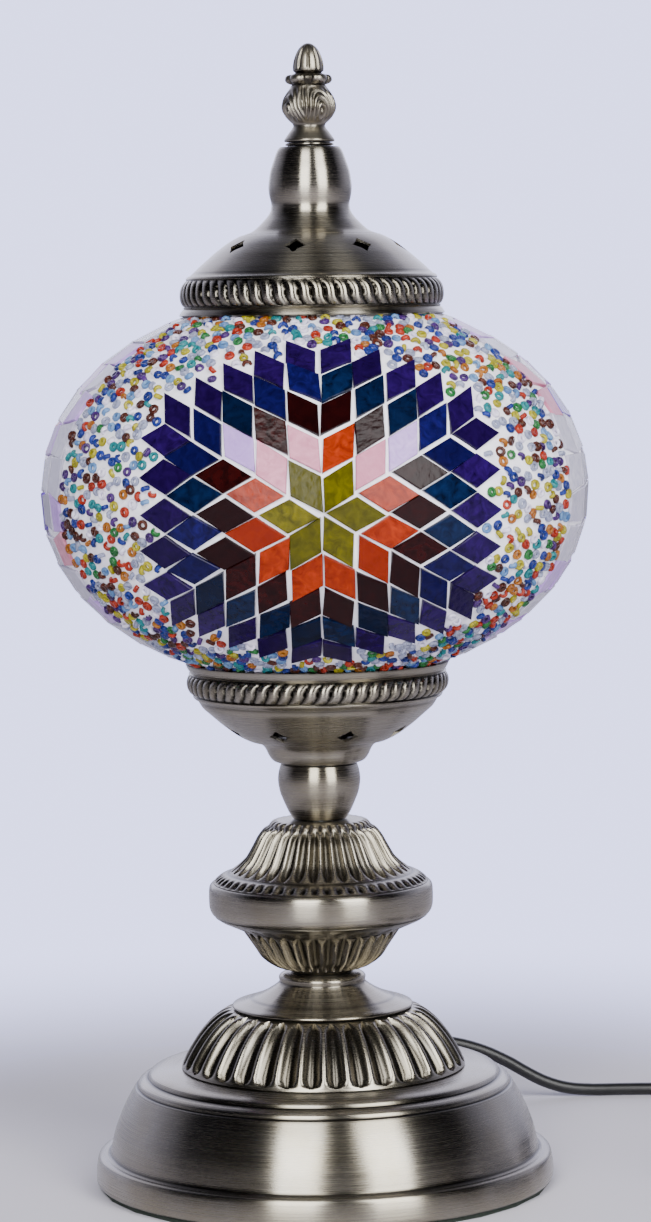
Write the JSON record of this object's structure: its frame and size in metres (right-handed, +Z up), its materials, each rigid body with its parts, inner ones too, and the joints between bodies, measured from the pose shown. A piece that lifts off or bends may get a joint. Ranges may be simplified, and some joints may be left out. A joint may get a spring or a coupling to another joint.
{
  "type": "mosaic glass table lamp",
  "caption": "Table lamp: mosaic glass globe held between two pressed metal galleries on a turned stem and domed foot, with a finial, a screw-in bulb and a switched mains lead.",
  "frame": {"origin": "centre of the felt underside, on the table", "axes": "+Z up the lamp's axis to the finial, -Y towards the front of the mosaic, +Y towards the lead's outlet"},
  "size_m": [0.321, 0.2901, 0.425],
  "materials": {
    "antique_brass": "spun, brushed and darkened",
    "bright_brass": "bright",
    "steel": "zinc plated",
    "cast_iron": "as cast",
    "felt": "felt",
    "rubber": "matte",
    "clear_glass": "clear",
    "mosaic": "coloured glass tiles and seed beads set in white plaster",
    "frosted_glass": "frosted",
    "bakelite": "moulded",
    "black_plastic": "moulded"
  },
  "bodies": {
    "base": {"base_pad": "felt", "base_shell": "antique_brass", "base_weight": "cast_iron", "bottom_nut": "steel", "bottom_washer": "steel", "fluted_dome": "antique_brass", "dome_collar": "antique_brass", "knob_lower": "antique_brass", "knob_band": "antique_brass", "knob_upper": "antique_brass", "cup_vase": "antique_brass", "cup_flare": "antique_brass", "centre_tube": "steel", "cup_gallery": "antique_brass", "cup_nut": "steel", "cup_gasket": "rubber", "harp": "steel", "socket_base": "bakelite", "socket_body": "bakelite", "socket_shell": "bright_brass", "socket_contact": "bright_brass", "strain_relief": "rubber", "cord_lead": "black_plastic", "switch_lower": "black_plastic", "switch_upper": "black_plastic", "cord_tail": "black_plastic", "cord_coil": "black_plastic", "cord_end": "black_plastic", "plug_body": "black_plastic", "plug_pin_left": "steel", "plug_pin_right": "steel"},
    "globe": {"globe_glass": "clear_glass", "globe_mosaic": "mosaic", "cap_gasket": "rubber"},
    "cap": {"cap_gallery": "antique_brass", "cap_flare": "antique_brass", "cap_vase": "antique_brass"},
    "finial_seat": {"finial_washer": "antique_brass"},
    "finial": {"finial": "antique_brass"},
    "bulb_tip": {"bulb_contact": "steel"},
    "bulb": {"bulb_cap": "steel", "bulb_glass": "frosted_glass"},
    "rocker": {"switch_rocker": "black_plastic"}
  },
  "joints": [
    {"name": "globe_lift", "type": "slide", "parent": "base", "child": "globe", "axis": [0, 0, 1], "range_m": [0, 0.215]},
    {"name": "cap_lift", "type": "slide", "parent": "globe", "child": "cap", "axis": [0, 0, 1], "range_m": [0, 0.085]},
    {"name": "finial_lift", "type": "slide", "parent": "cap", "child": "finial_seat", "axis": [0, 0, 1], "range_m": [0, 0.008]},
    {"name": "finial_turn", "type": "hinge", "parent": "finial_seat", "child": "finial", "pos_m": [0, 0, 0.4], "axis": [0, 0, 1], "range_deg": [0, 2881]},
    {"name": "bulb_lift", "type": "slide", "parent": "base", "child": "bulb_tip", "axis": [0, 0, 1], "range_m": [0, 0.00846]},
    {"name": "bulb_turn", "type": "hinge", "parent": "bulb_tip", "child": "bulb", "pos_m": [0, 0, 0.21], "axis": [0, 0, 1], "range_deg": [0, 1081]},
    {"name": "switch_press", "type": "hinge", "parent": "base", "child": "rocker", "pos_m": [0.171, 0.078, 0.0154], "axis": [1, 0, 0], "range_deg": [0, 16]}
  ],
  "couplings": [
    {"joint": "finial_turn", "follows": "finial_lift", "rad_per_m": 6283.2},
    {"joint": "bulb_turn", "follows": "bulb_lift", "rad_per_m": 2228.1}
  ]
}
